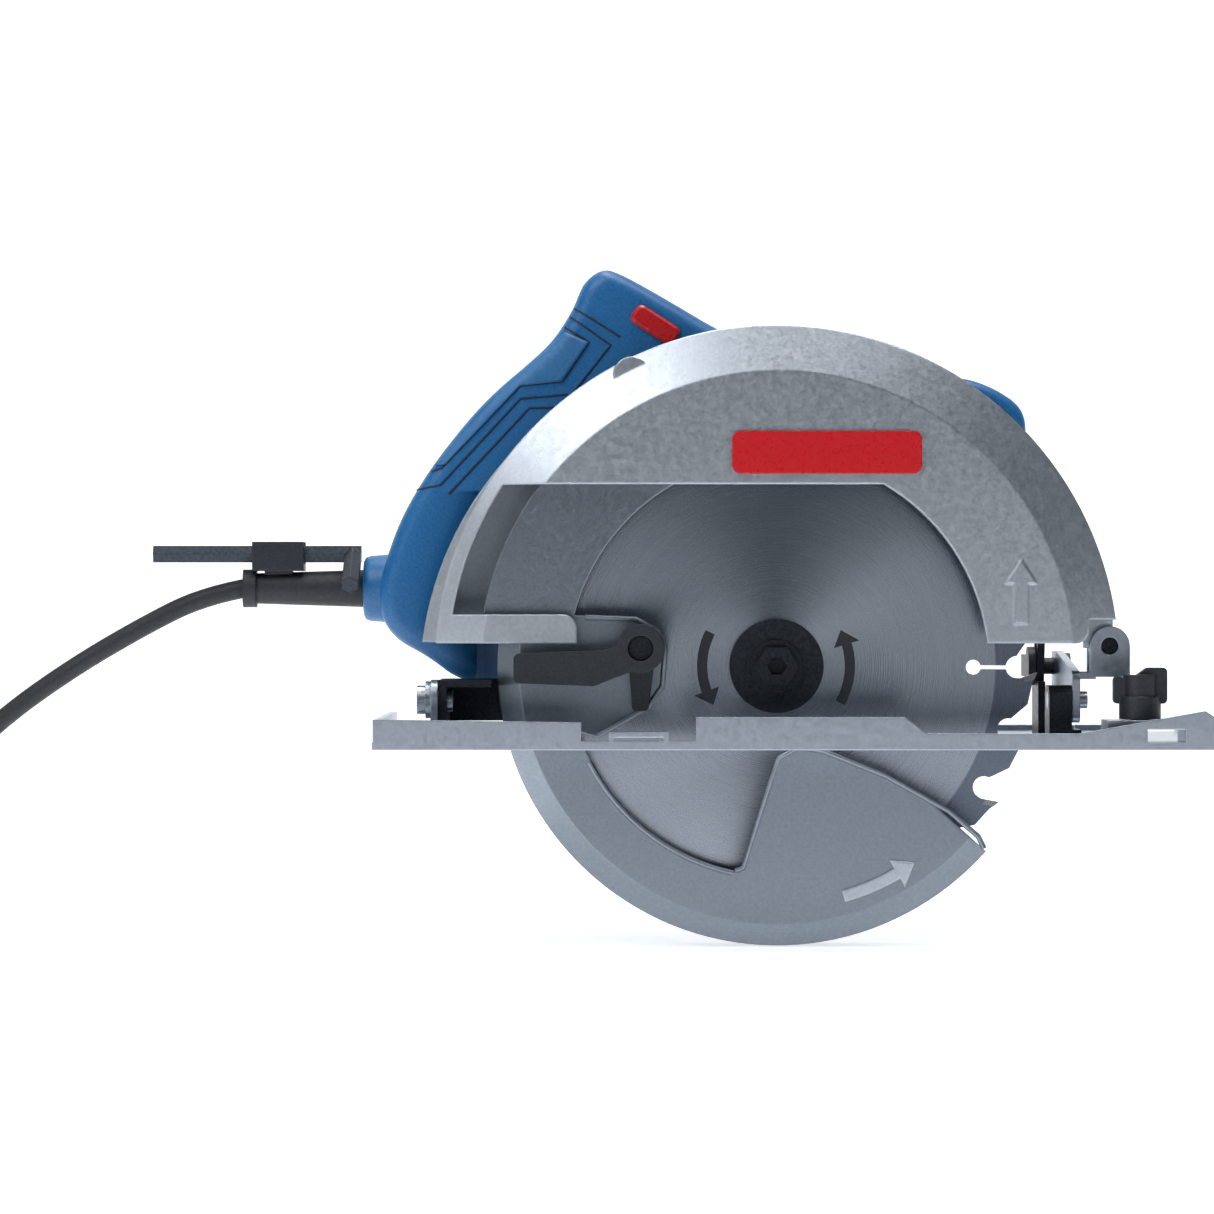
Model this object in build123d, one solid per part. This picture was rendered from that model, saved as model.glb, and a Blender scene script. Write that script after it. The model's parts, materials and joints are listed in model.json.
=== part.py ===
"""Circular saw with a 184 mm blade: every sub-part in millimetres, written as one STEP file per node.

+X is the front of the saw, +Z is up, +Y points from the blade to the motor.
The underside of the base plate is z = 0 and the blade's axis is at x = 0.
"""
from build123d import *
from math import acos, asin, cos, degrees, pi, radians, sin, sqrt, tan
import os

# blade and spindle
BLADE_Y = -25.0  # middle plane of the blade
ARBOR_Z = 28.2  # height of the blade's axis at full depth
BLADE_R = 92.0
BLADE_HALF = 0.7
TEETH = 24
GULLET_AT = 84.7  # from the axis to the middle of a gullet
GULLET_ROUND = 3.9
FIRST_TIP = -1.4  # angle of the first tooth
SPINDLE_R = 6.0
FLANGE_R = 16.5

# guards, as radii about the blade's axis
UPPER_R = 119.5
UPPER_BEVEL_R = 103.0
UPPER_FRONT = -20.0  # measured from the blade's plane
UPPER_BACK = 17.0
LOWER_R = 97.9
LOWER_BEVEL_R = 90.2
LOWER_FRONT = -13.5
LOWER_BACK = 11.0
WALL = 2.5
LEVER_AT = (-47.9, 34.5)  # pivot screw of the guard lever, x and z

# base plate
BASE_X = (-140.0, 153.9)
BASE_Y = (-75.0, 75.0)
BASE_T = 2.5
SLOT_X = (-101.0, 95.0)
SLOT_Y = (-49.0, 12.0)
GUIDE_SLOT_X = (125.0, 138.0)

# tilt and depth adjustment
TILT_Y, TILT_Z = -33.0, 16.4  # the tilt axis runs along X
TILT_KNOB_R = 62.0  # from the tilt axis to the clamp knob
TILT_KNOB_Z = 27.5
DEPTH_AT = (116.9, 35.2)  # depth pivot, x and z
DEPTH_ARC_R = 172.0
DEPTH_REST = 2.0  # angle of the clamp bolt at full depth
DEPTH_RANGE = 32.0

# gears and motor
MODULE = 1.0
GEAR_TEETH, PINION_TEETH = 42, 11
PRESSURE_ANGLE = 25.0
BACKLASH = 0.30
CENTRES = MODULE * (GEAR_TEETH + PINION_TEETH) / 2
MOTOR_ANGLE = 115.0  # direction from the spindle to the armature
MOTOR_X = CENTRES * cos(radians(MOTOR_ANGLE))
MOTOR_Z = ARBOR_Z + CENTRES * sin(radians(MOTOR_ANGLE))
BARREL_R = 42.0
BARREL_Y = (25.0, 110.0)
CAP_END_Y = 125.0

# handle
HANDLE_Y = (-1.0, 35.0)
HANDLE_MID = 17.0
BUTTON_AT = (-42.2, 149.6)  # lock-off button, x and z
BUTTON_TILT = -33.0

# mains cord
CORD_R = 3.5
CORD_Z = 55.6
FLOOR_Z = ARBOR_Z - LOWER_R
COIL_X, COIL_R, COIL_HALF = -415.0, 38.5, 10.5
COIL_Y = HANDLE_MID + COIL_R
CORD_ROUTE = [
    (-190.8, 55.6),
    (-206.0, 52.6),
    (-227.0, 42.0),
    (-252.0, 27.4),
    (-278.0, 9.0),
    (-302.0, -14.0),
    (-324.0, -38.0),
    (-348.0, -57.0),
    (-368.0, FLOOR_Z + CORD_R + 1.5),
    (-387.5, FLOOR_Z + CORD_R),
]

os.makedirs("parts", exist_ok=True)


def save(shape, node):
    """Write one node, named as its file."""
    export_step(shape, f"parts/{node}.step")


def box(x0, x1, y0, y1, z0, z1):
    """A block between two corners."""
    return Pos((x0 + x1) / 2, (y0 + y1) / 2, (z0 + z1) / 2) * Box(x1 - x0, y1 - y0, z1 - z0)


def rod_y(x, z, radius, y0, y1):
    """A round bar along Y."""
    return Pos(x, (y0 + y1) / 2, z) * Rot(90, 0, 0) * Cylinder(radius, y1 - y0)


def rod_x(y, z, radius, x0, x1):
    """A round bar along X."""
    return Pos((x0 + x1) / 2, y, z) * Rot(0, 90, 0) * Cylinder(radius, x1 - x0)


def rod_z(x, y, radius, z0, z1):
    """A round bar along Z."""
    return Pos(x, y, (z0 + z1) / 2) * Cylinder(radius, z1 - z0)


def ring_y(x, z, outer, inner, y0, y1):
    """A washer or tube along Y."""
    return rod_y(x, z, outer, y0, y1) - rod_y(x, z, inner, y0 - 1, y1 + 1)


def side(face, y0, y1):
    """A flat shape drawn in x and z, as thick as y0 to y1."""
    plane = Plane(origin=(0, y1, 0), x_dir=(1, 0, 0), z_dir=(0, -1, 0))
    return extrude(plane * face, amount=y1 - y0)


def front(face, x0, x1):
    """A flat shape drawn in y and z, as thick as x0 to x1."""
    plane = Plane(origin=(x0, 0, 0), x_dir=(0, 1, 0), z_dir=(1, 0, 0))
    return extrude(plane * face, amount=x1 - x0)


def outline(points):
    """A closed flat shape with straight sides."""
    return make_face(Polyline(*points, close=True))


def rounded(points, radius):
    """A closed flat shape with its corners rounded."""
    face = outline(points)
    return fillet(face.vertices(), radius)


def spun(points, x=0.0, z=ARBOR_Z):
    """A profile of (radius, y) points turned about an axis along Y."""
    plane = Plane(origin=(x, 0, z), x_dir=(1, 0, 0), z_dir=(0, 0, 1))
    return revolve(plane * outline(points), Axis((x, 0, z), (0, 1, 0)), 360)


def polar(radius, angle, x=0.0, z=0.0):
    """A point at an angle from +X towards +Z."""
    return (x + radius * cos(radians(angle)), z + radius * sin(radians(angle)))


def sector(radius, start, end):
    """A pie slice about the origin, less than half a turn."""
    points = [(0, 0)]
    steps = 8
    for i in range(steps + 1):
        points.append(polar(radius, start + (end - start) * i / steps))
    return outline(points)


def arc_slot(radius, half_width, start, end):
    """A curved slot with round ends about the origin."""
    ring = Circle(radius + half_width) - Circle(radius - half_width)
    slot = ring & sector(2 * radius, start, end)
    for angle in (start, end):
        slot += Pos(*polar(radius, angle)) * Circle(half_width)
    return slot


def from_blade(y):
    """A y coordinate given from the blade's plane."""
    return BLADE_Y + y


def base_plate():
    """Pressed sheet with turned-up edges, a blade slot and a slot for the rip guide."""
    x0, x1 = BASE_X
    y0, y1 = BASE_Y
    sheet = box(x0, x1, y0, y1, 0, BASE_T)
    sheet = fillet(sheet.edges().filter_by(Axis.Z), 2.4)
    sheet -= box(SLOT_X[0], SLOT_X[1], SLOT_Y[0], SLOT_Y[1], -1, 5)
    edge = [
        (-139.5, 0), (150, 0), (153.9, 3), (153.2, 7.6), (144.7, 13.4), (101.8, 5.7), (49.8, 5.7), (42.3, 11.3),
        (-29.1, 11.3), (-29.1, 3), (-68.3, 3), (-68.3, 9.5), (-139.5, 10.5),
    ]
    near = side(outline(edge), y0, y0 + BASE_T)
    near -= box(GUIDE_SLOT_X[0], GUIDE_SLOT_X[1], y0 - 1, y0 + 4, BASE_T, 7)
    far = side(outline([(-130, 0), (130, 0), (130, 5), (-130, 5)]), y1 - BASE_T, y1)
    ends = box(x1 - BASE_T, x1, y0 + 10, y1 - 10, 0, 7.6)
    ends += box(x0, x0 + BASE_T, y0 + 10, y1 - 10, 0, 10)
    hoop = box(-58.8, -38.4, y0, y0 + 14, 2, 6.1) - box(-57, -40.2, y0 - 1, y0 + 15, 1, 4.3)
    ribs = box(-125, 60, 40, 44, BASE_T, 3.6) + box(-125, 60, 56, 60, BASE_T, 3.6)
    return sheet + near + far + ends + hoop + ribs


def front_quadrant():
    """Upright sheet with the curved slot that the tilt clamp slides in."""
    start = degrees(asin((TILT_KNOB_Z - TILT_Z) / TILT_KNOB_R))
    ring = (Circle(TILT_KNOB_R + 7) - Circle(TILT_KNOB_R - 7)) & sector(150, start - 8, start + 51)
    ring -= arc_slot(TILT_KNOB_R, 3.4, start, start + 45)
    plate = front(Pos(TILT_Y, TILT_Z) * ring, 96.3, 98.9)
    plate += box(96.3, 98.9, TILT_Y + 50, TILT_Y + 74, BASE_T, 22)
    plate += box(96.3, 112.0, TILT_Y + 50, TILT_Y + 74, BASE_T, BASE_T + 2)
    slot = front(Pos(TILT_Y, TILT_Z) * arc_slot(TILT_KNOB_R, 3.4, start, start + 45), 95, 100)
    return plate - slot


def pivot_block():
    """Front block that holds the tilt pin."""
    block = box(94.7, 102.6, TILT_Y - 8, TILT_Y + 8, BASE_T, 21.5)
    block = chamfer(block.edges().filter_by(Axis.X).group_by(Axis.Z)[-1], 3)
    return block - rod_x(TILT_Y, TILT_Z, 3.0, 90, 110)


def rear_bracket():
    """Upright ear at the back for the other tilt pin."""
    ear = box(-121.0, -118.5, TILT_Y - 10, TILT_Y + 10, BASE_T, 23.4)
    ear = fillet(ear.edges().filter_by(Axis.X).group_by(Axis.Z)[-1], 6)
    ear += box(-134.0, -118.5, TILT_Y - 10, TILT_Y + 10, BASE_T, BASE_T + 2)
    return ear - rod_x(TILT_Y, TILT_Z, 4.0, -125, -110)


def front_pin():
    """Pin through the front block."""
    return rod_x(TILT_Y, TILT_Z, 3.0, 94.7, 108.6)


def rear_pin():
    """Bolt with a washer through the rear ear."""
    pin = rod_x(TILT_Y, TILT_Z, 4.0, -125.0, -113.5)
    return pin + rod_x(TILT_Y, TILT_Z, 6.5, -123.0, -121.0) + rod_x(TILT_Y, TILT_Z, 5.0, -126.0, -123.0)


def guide_saddle():
    """Bridge over the rip-guide slot with a threaded hole."""
    top = box(112, 142, -68, -48, 7.0, 10.0)
    legs = box(112, 116, -68, -48, BASE_T, 7.0) + box(138.5, 142, -68, -48, BASE_T, 7.0)
    return top + legs - rod_z(124.3, -58, 3.3, 0, 20)


def guide_screw():
    """Wing bolt that clamps the rip guide."""
    body = rod_z(124.3, -58, 7.2, 10.3, 18.0) + rod_z(124.3, -58, 5.8, 18.0, 25.5)
    wing_shape = rounded([(115, 15.6), (133.5, 15.6), (133.5, 28), (126.5, 28), (121, 24), (115, 25.5)], 1.5)
    wing = side(wing_shape, -60, -56)
    return body + wing + rod_z(124.3, -58, 3.0, 7.6, 10.3)


def base_rivets():
    """Rivet heads that hold the quadrant and the rear ear."""
    heads = []
    for x, y in ((107, 22), (107, 36), (-129, -38), (-129, -28)):
        heads.append(rod_z(x, y, 3.0, BASE_T + 2, BASE_T + 3.6))
    return Compound(children=heads)


def front_tilt_bracket():
    """Tilting sheet at the front, with the two ears of the depth pivot."""
    y0 = TILT_Y - 6
    plate = front(rounded([(y0, 8), (31, 18), (36, 20), (36, 33), (20, 33), (y0, 26.2)], 3), 102.9, 105.7)
    plate -= rod_x(TILT_Y, TILT_Z, 3.05, 100, 110)
    knob_y = TILT_Y + sqrt(TILT_KNOB_R**2 - (TILT_KNOB_Z - TILT_Z) ** 2)
    plate -= rod_x(knob_y, TILT_KNOB_Z, 3.3, 100, 110)
    plate += box(102.9, 112.0, from_blade(-6.0), from_blade(6.1), 23.6, 26.2)
    ear = Pos(*DEPTH_AT) * Circle(7) + Pos(117, 29.8) * Rectangle(14, 10.9)
    ears = side(ear, from_blade(-6.0), from_blade(-3.3)) + side(ear, from_blade(3.4), from_blade(6.1))
    ears -= rod_y(*DEPTH_AT, 3.05, -60, 0)
    return plate + ears


def rear_tilt_bracket():
    """Tilting bracket at the back, with the rail that carries the depth arc."""
    plate = box(-118.2, -115.4, TILT_Y - 8, from_blade(23.7), 8.4, 23.4)
    plate -= rod_x(TILT_Y, TILT_Z, 4.05, -125, -110)
    rail = box(-118.2, -42.0, from_blade(21.2), from_blade(23.7), 8.4, 23.4)
    flange = box(-116, -99.8, TILT_Y - 8, from_blade(21.2), 20.9, 23.4)
    return plate + rail + flange


def depth_arc():
    """Curved sheet whose slot guides the depth clamp."""
    ring = (Circle(DEPTH_ARC_R + 6) - Circle(DEPTH_ARC_R - 6)) & sector(400, 143.0, 181.5)
    ring -= arc_slot(DEPTH_ARC_R, 3.3, 180 - DEPTH_REST - DEPTH_RANGE, 180 - DEPTH_REST)
    plate = side(Pos(*DEPTH_AT) * ring, from_blade(18.4), from_blade(21.2))
    return plate + box(-66, -44, from_blade(18.4), from_blade(21.2), 8.4, 34.5)


def tilt_knob():
    """Clamp knob of the tilt, with its bolt and nut."""
    y = TILT_Y + sqrt(TILT_KNOB_R**2 - (TILT_KNOB_Z - TILT_Z) ** 2)
    knob = rod_x(y, TILT_KNOB_Z, 7.0, 93.3, 96.0)
    wing = box(93.3, 96.0, y - 2.5, y + 24, TILT_KNOB_Z - 4, TILT_KNOB_Z + 4)
    shank = rod_x(y, TILT_KNOB_Z, 3.0, 96.0, 108.8)
    return knob + wing + shank + rod_x(y, TILT_KNOB_Z, 4.7, 106.0, 108.8)


def upper_guard():
    """Cast guard over the top half of the blade, open at the front and the left."""
    y0, y1 = from_blade(UPPER_FRONT), from_blade(UPPER_BACK)
    skin = spun([
        (20, y0), (UPPER_BEVEL_R, y0), (UPPER_R, y0 + 8), (UPPER_R, y1), (26, y1), (26, y1 - WALL),
        (UPPER_R - WALL, y1 - WALL), (UPPER_R - WALL, y0 + 9), (UPPER_BEVEL_R - 1, y0 + WALL), (20, y0 + WALL),
    ])
    kept = outline([(-130, 8), (108.5, 8), (108.5, 16.2), (130, 16.2), (130, 130), (-130, 130)])
    kept = fillet(kept.vertices().sort_by_distance((108.5, 8, 0))[0], 5)
    skin = skin & side(Pos(0, ARBOR_Z) * kept, -80, 20)
    window = Circle(73.2) + (Pos(-43, 14) * Rectangle(160, 98.8) & Circle(114.8))
    window -= Pos(-105, 3.1) * RectangleRounded(70, 30, 5)
    window = window & (Pos(0, -36.6) * Rectangle(400, 200))
    skin -= side(Pos(0, ARBOR_Z) * window, y0 - 1, y0 + 12)
    lip = make_face(
        ThreePointArc(polar(119.0, 140), polar(121.7, 157), polar(124.4, 176.1))
        + Line(polar(124.4, 176.1), polar(119.0, 176.0))
        + ThreePointArc(polar(119.0, 176.0), polar(119.0, 158), polar(119.0, 140))
    )
    skin += side(Pos(0, ARBOR_Z) * lip, y0 + 8, y1)
    lug = Pos(*DEPTH_AT) * Circle(6.8) + Pos(113.3, 43) * Rectangle(10, 17)
    skin += side(lug, from_blade(-2.9), from_blade(3.0)) - rod_y(*DEPTH_AT, 3.0, -40, 0)
    skin += rod_y(-51, ARBOR_Z + 102, 6.2, y0 + 6, y1) & box(-80, 0, -80, 20, ARBOR_Z + 99, ARBOR_Z + 120)
    for x, z in ((-24, 98), (24, 98)):
        skin -= rod_y(x, z, 2.6, y1 - 5, y1 + 1)
    arrow = outline([(82, 43), (87, 43), (87, 57), (90, 57), (84.5, 65.5), (79, 57), (82, 57)])
    skin += side(arrow, y0 - 0.6, y0 + 0.5)
    return skin


def lower_guard():
    """Cast swinging guard round the lower half of the blade."""
    y0, y1 = from_blade(LOWER_FRONT), from_blade(LOWER_BACK)
    shell = spun([
        (20.3, y0), (LOWER_BEVEL_R, y0), (LOWER_R, y0 + 5.5), (LOWER_R, y1), (20.3, y1), (20.3, y1 - 2),
        (LOWER_R - 2.3, y1 - 2), (LOWER_R - 2.3, y0 + 6.5), (LOWER_BEVEL_R - 1, y0 + 2), (20.3, y0 + 2),
    ])
    half = Pos(0, 0, ARBOR_Z) * Rot(0, 41.5, 0) * box(-120, 120, -80, 20, -120, 0)
    hub = ring_y(0, ARBOR_Z, 27, 20.3, y1 - 2, y1)
    neck = outline([
        (-80, 18), (-49.5, 17.3), (-41, 13), (-38.4, 6), (-39.4, -7), (-44.7, -14.8), (-62.7, -25), (-80, -20),
    ])
    fin = outline([
        (-14.8, -71.4), (-12, -70.4), (-2.3, -39.4), (0.35, -32), (7.4, -27.8), (16.2, -29.2), (37.7, -37.7),
        (59.9, -50), (70.1, -58.8), (72.5, -64.1), (60, -78), (20, -90), (-14, -90),
    ])
    opening = Circle(73.0) - neck - fin
    shell -= side(Pos(0, ARBOR_Z) * opening, y0 - 1, y0 + 3)
    shell = (shell & half) + hub
    plate = (Circle(104.5) - Circle(73.0)) & sector(200, 118, 173)
    shell += side(Pos(0, ARBOR_Z) * plate, y0, y0 + 2)
    return shell - rod_y(*LEVER_AT, 2.0, -60, from_blade(LOWER_FRONT) + 5)


def guard_lever():
    """Thumb lever on the swinging guard."""
    x, z = LEVER_AT
    boss = rod_y(x, z, 8.4, from_blade(-27), from_blade(LOWER_FRONT))
    arm_shape = rounded([(-91.9, 22.5), (-64, 21.5), (-50, 27), (-46, 40), (-60, 34), (-91.9, 32.7)], 2)
    arm = side(arm_shape, from_blade(-27), from_blade(-21))
    tail_shape = rounded([(-50.7, 12.7), (-45.1, 12.7), (-43, 30), (-52, 30)], 1.5)
    tail = side(tail_shape, from_blade(-19), from_blade(LOWER_FRONT))
    screw_hole = rod_y(x, z, 4.4, -60, from_blade(-22)) + rod_y(x, z, 2.0, -60, -30)
    return boss + arm + tail - screw_hole


def lever_screw():
    """Screw that holds the lever to the swinging guard."""
    x, z = LEVER_AT
    return rod_y(x, z, 4.2, from_blade(-24.0), from_blade(-22.0)) + rod_y(x, z, 2.0, from_blade(-22), from_blade(-11.6))


def guard_ring():
    """Ring on the gear case that keeps the swinging guard in place."""
    return ring_y(0, ARBOR_Z, 23, 16.5, from_blade(7.7), from_blade(8.7))


def tooth_points(angle):
    """One saw tooth from its tip down the face and round the gullet to the back of the next."""
    points = [polar(BLADE_R, angle), polar(86.1, angle - 1.5)]
    for turn in range(180, 361, 20):
        radial = GULLET_AT + GULLET_ROUND * sin(radians(turn))
        points.append(polar(radial, angle + 1.1 + degrees(GULLET_ROUND * cos(radians(turn)) / GULLET_AT)))
    return points + [polar(89.6, angle + 7.7), polar(90.4, angle + 12.5)]


def tip_face(angle):
    """Outline of one carbide tip."""
    corners = [(BLADE_R, 0.0), (BLADE_R - 0.9, -1.5), (87.5, -2.5), (87.3, -1.2)]
    return outline([polar(radius, angle + offset) for radius, offset in corners])


def blade():
    """Saw blade with gullets, four expansion slots and its bore."""
    points = []
    for i in range(TEETH):
        points += tooth_points(FIRST_TIP + 15.0 * i)
    face = outline(points) - Circle(SPINDLE_R)
    for i in range(TEETH):
        face -= tip_face(FIRST_TIP + 15.0 * i)
    for i in range(4):
        slot = Pos(69.4, 0) * Circle(2.6) + Pos(76.5, 0) * Rectangle(14, 1.3)
        face -= Rot(0, 0, 90 * i - 0.4) * slot
    return side(Pos(0, ARBOR_Z) * face, BLADE_Y - BLADE_HALF, BLADE_Y + BLADE_HALF)


def carbide_tips():
    """Brazed tips, a little wider than the blade."""
    tips = []
    for i in range(TEETH):
        tips.append(side(Pos(0, ARBOR_Z) * tip_face(FIRST_TIP + 15.0 * i), BLADE_Y - 1.1, BLADE_Y + 1.1))
    return Compound(children=tips)


def flange(y0, y1):
    """Clamping washer of the blade."""
    disc = ring_y(0, ARBOR_Z, FLANGE_R, SPINDLE_R, y0, y1)
    return chamfer(disc.edges().filter_by(GeomType.CIRCLE).group_by(Axis.Y)[0][-1], 1.0)


def blade_bolt():
    """Bolt with a hexagon head, a washer and a hexagon socket."""
    head = side(Pos(0, ARBOR_Z) * RegularPolygon(7.5, 6), from_blade(-12.2), from_blade(-8.0))
    head += rod_y(0, ARBOR_Z, 9.2, from_blade(-8.0), from_blade(-6.5))
    head += rod_y(0, ARBOR_Z, 4.0, from_blade(-6.5), from_blade(4))
    return head - side(Pos(0, ARBOR_Z) * RegularPolygon(3.45, 6), from_blade(-13), from_blade(-8.0))


def spindle():
    """Output shaft that carries the blade."""
    shaft = rod_y(0, ARBOR_Z, SPINDLE_R, from_blade(-6.0), from_blade(45.0))
    return shaft - rod_y(0, ARBOR_Z, 4.0, -60, from_blade(4))


def gear_face(teeth, bore, turn):
    """Involute gear outline with backlash."""
    pitch = MODULE * teeth / 2
    base = pitch * cos(radians(PRESSURE_ANGLE))
    tip, root = pitch + 0.9 * MODULE, pitch - 1.15 * MODULE
    half_at_pitch = pi / (2 * teeth) - BACKLASH / (2 * pitch)
    involute_at_pitch = tan(radians(PRESSURE_ANGLE)) - radians(PRESSURE_ANGLE)
    flank = []
    for i in range(4):
        radius = max(base, root) + (tip - max(base, root)) * i / 3
        lean = acos(min(1.0, base / radius))
        flank.append((radius, half_at_pitch + involute_at_pitch - (tan(lean) - lean)))
    points = []
    for i in range(teeth):
        middle = radians(turn) + 2 * pi * i / teeth
        points.append(polar(root, degrees(middle - flank[0][1] - 0.004)))
        for radius, half in flank:
            points.append(polar(radius, degrees(middle - half)))
        for radius, half in reversed(flank):
            points.append(polar(radius, degrees(middle + half)))
        points.append(polar(root, degrees(middle + flank[0][1] + 0.004)))
    return outline(points) - Circle(bore)


def spindle_gear():
    """Large gear on the spindle, with a tooth towards the pinion."""
    face = gear_face(GEAR_TEETH, SPINDLE_R, MOTOR_ANGLE)
    return side(Pos(0, ARBOR_Z) * face, from_blade(24), from_blade(32))


def armature_shaft():
    """Motor shaft with its pinion, which has a gap towards the spindle."""
    turn = MOTOR_ANGLE + 180 + 180 / PINION_TEETH
    pinion_face = Pos(MOTOR_X, MOTOR_Z) * gear_face(PINION_TEETH, 2.0, turn)
    pinion = side(pinion_face, from_blade(23.5), from_blade(32.5))
    shaft = rod_y(MOTOR_X, MOTOR_Z, 4.0, from_blade(32.5), 121.5)
    return pinion + rod_y(MOTOR_X, MOTOR_Z, 2.0, from_blade(22), from_blade(32.5)) + shaft


def case_outline(grow):
    """Outline of the gear case, smaller for its hollow."""
    low = Pos(0, ARBOR_Z) * Circle(24.4 + grow)
    high = Pos(MOTOR_X, MOTOR_Z + 3) * Circle(30 + grow)
    web = outline([
        (-24.4 - grow, ARBOR_Z), (24.4 + grow, ARBOR_Z), (18 + grow, MOTOR_Z + 3), (-40 - grow, MOTOR_Z + 3),
    ])
    return low + high + web


def gear_case():
    """Cast case round the gears, with the boss that the swinging guard turns on."""
    y0, y1 = from_blade(UPPER_BACK), BARREL_Y[0]
    case = side(case_outline(0), y0, y1) - side(case_outline(-2.2), y0 + 3, y1 - 3)
    case += rod_y(0, ARBOR_Z, 20.0, from_blade(8.7), y0)
    case += ring_y(MOTOR_X, MOTOR_Z, BARREL_R, 29, y1 - 3, y1)
    case -= rod_y(0, ARBOR_Z, 16.0, from_blade(8), from_blade(20.5))
    case -= rod_y(MOTOR_X, MOTOR_Z, 9.0, y1 - 7, y1 + 1)
    case += ring_y(0, ARBOR_Z, 17.4, 16.0, from_blade(37), y1 - 3)
    case += rod_x(from_blade(28), ARBOR_Z + 6, 6.5, 23, 31)
    for x, z in ((-24, 98), (24, 98)):
        case += box(x - 4, x + 4, y0, y0 + 8, 78, z + 4)
        case += box(min(x, -8), max(x, 8), y0, y0 + 8, 76, 84)
    case -= rod_x(from_blade(28), ARBOR_Z + 6, 3.1, 15, 40)
    for x, z in ((-24, 98), (24, 98)):
        case -= rod_y(x, z, 2.6, y0 - 1, y0 + 5)
    return case


def bearing(x, z, outer, inner, y0, y1):
    """Outer and inner part of a sealed ball bearing."""
    middle = (outer + inner) / 2
    return ring_y(x, z, outer, middle + 0.15, y0, y1), ring_y(x, z, middle - 0.15, inner, y0, y1)


def motor_housing():
    """Moulded barrel round the motor, with cooling slots."""
    y0, y1 = BARREL_Y
    barrel = ring_y(MOTOR_X, MOTOR_Z, BARREL_R, BARREL_R - 3, y0, y1)
    barrel += ring_y(MOTOR_X, MOTOR_Z, BARREL_R + 1.2, BARREL_R - 1, y1 - 6, y1)
    for angle in (150, 165, 180, 195, 330, 345, 0, 15, 30):
        slot = box(30, 50, y0 + 12, y0 + 28, -1.6, 1.6)
        barrel -= Pos(MOTOR_X, 0, MOTOR_Z) * Rot(0, -angle, 0) * slot
    for angle in (0, 180):
        pocket = rod_x(98, 0, 7.3, 34, 50)
        barrel -= Pos(MOTOR_X, 0, MOTOR_Z) * Rot(0, -angle, 0) * pocket
    return barrel


def motor_end_cap():
    """Domed cap at the end of the motor, with air slots."""
    y0, y1 = BARREL_Y[1], CAP_END_Y
    cap = spun([
        (BARREL_R + 1.2, y0), (BARREL_R + 1.2, y0 + 6), (BARREL_R - 7, y1), (0, y1), (0, y1 - 3),
        (BARREL_R - 9, y1 - 3), (BARREL_R - 2, y0 + 5), (BARREL_R - 2, y0),
    ], MOTOR_X, MOTOR_Z)
    cap += ring_y(MOTOR_X, MOTOR_Z, 14, 11, y1 - 9, y1 - 2.5)
    for i in range(7):
        z = MOTOR_Z - 24 + 8 * i
        for x in (-29, 17):
            cap -= box(MOTOR_X + x, MOTOR_X + x + 12, y1 - 5, y1 + 1, z - 1.6, z + 1.6)
    return cap


def brush_caps():
    """Screw caps over the motor's brushes."""
    caps = []
    for angle in (0, 180):
        cap = rod_x(98, 0, 7.0, 34, 43.5) - box(42.3, 45, 97.2, 98.8, -5, 5)
        caps.append(Pos(MOTOR_X, 0, MOTOR_Z) * Rot(0, -angle, 0) * cap)
    return Compound(children=caps)


def stator():
    """Field pack round the armature."""
    return ring_y(MOTOR_X, MOTOR_Z, BARREL_R - 3, 26, 52, 86)


def rotor():
    """Wound core on the motor shaft."""
    return ring_y(MOTOR_X, MOTOR_Z, 25.3, 4.0, 52, 86)


def commutator():
    """Copper commutator on the motor shaft."""
    return ring_y(MOTOR_X, MOTOR_Z, 12, 4.0, 92, 104)


def fan():
    """Cooling fan on the motor shaft."""
    wheel = ring_y(MOTOR_X, MOTOR_Z, 36, 4.0, 35, 37)
    wheel += ring_y(MOTOR_X, MOTOR_Z, 9, 4.0, 37, 47)
    for i in range(12):
        wheel += Pos(MOTOR_X, 0, MOTOR_Z) * Rot(0, 30 * i, 0) * box(8, 35, 37, 47, -0.8, 0.8)
    return wheel


HANDLE_BACK = [
    (-12.7, 144.7), (-21.1, 148.2), (-32.4, 155.3), (-43.7, 161.6), (-54.9, 166.9), (-60.6, 169.0),
    (-66.2, 166.2), (-70.8, 156.3), (-79.6, 143.7), (-98.6, 126.8), (-113.7, 109.9), (-126.1, 93.0),
    (-134.9, 76.1), (-138.5, 68.0), (-144.0, 67.3), (-147.5, 45.4), (-143.0, 42.3), (-123.6, 32.4),
    (-112.1, 23.9), (-100.7, 22.9),
]
HANDLE_INNER = [(-99, 69), (-91, 88), (-70, 109), (-52, 121), (-33, 114), (-34, 104), (-52, 90), (-62, 72)]


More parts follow.
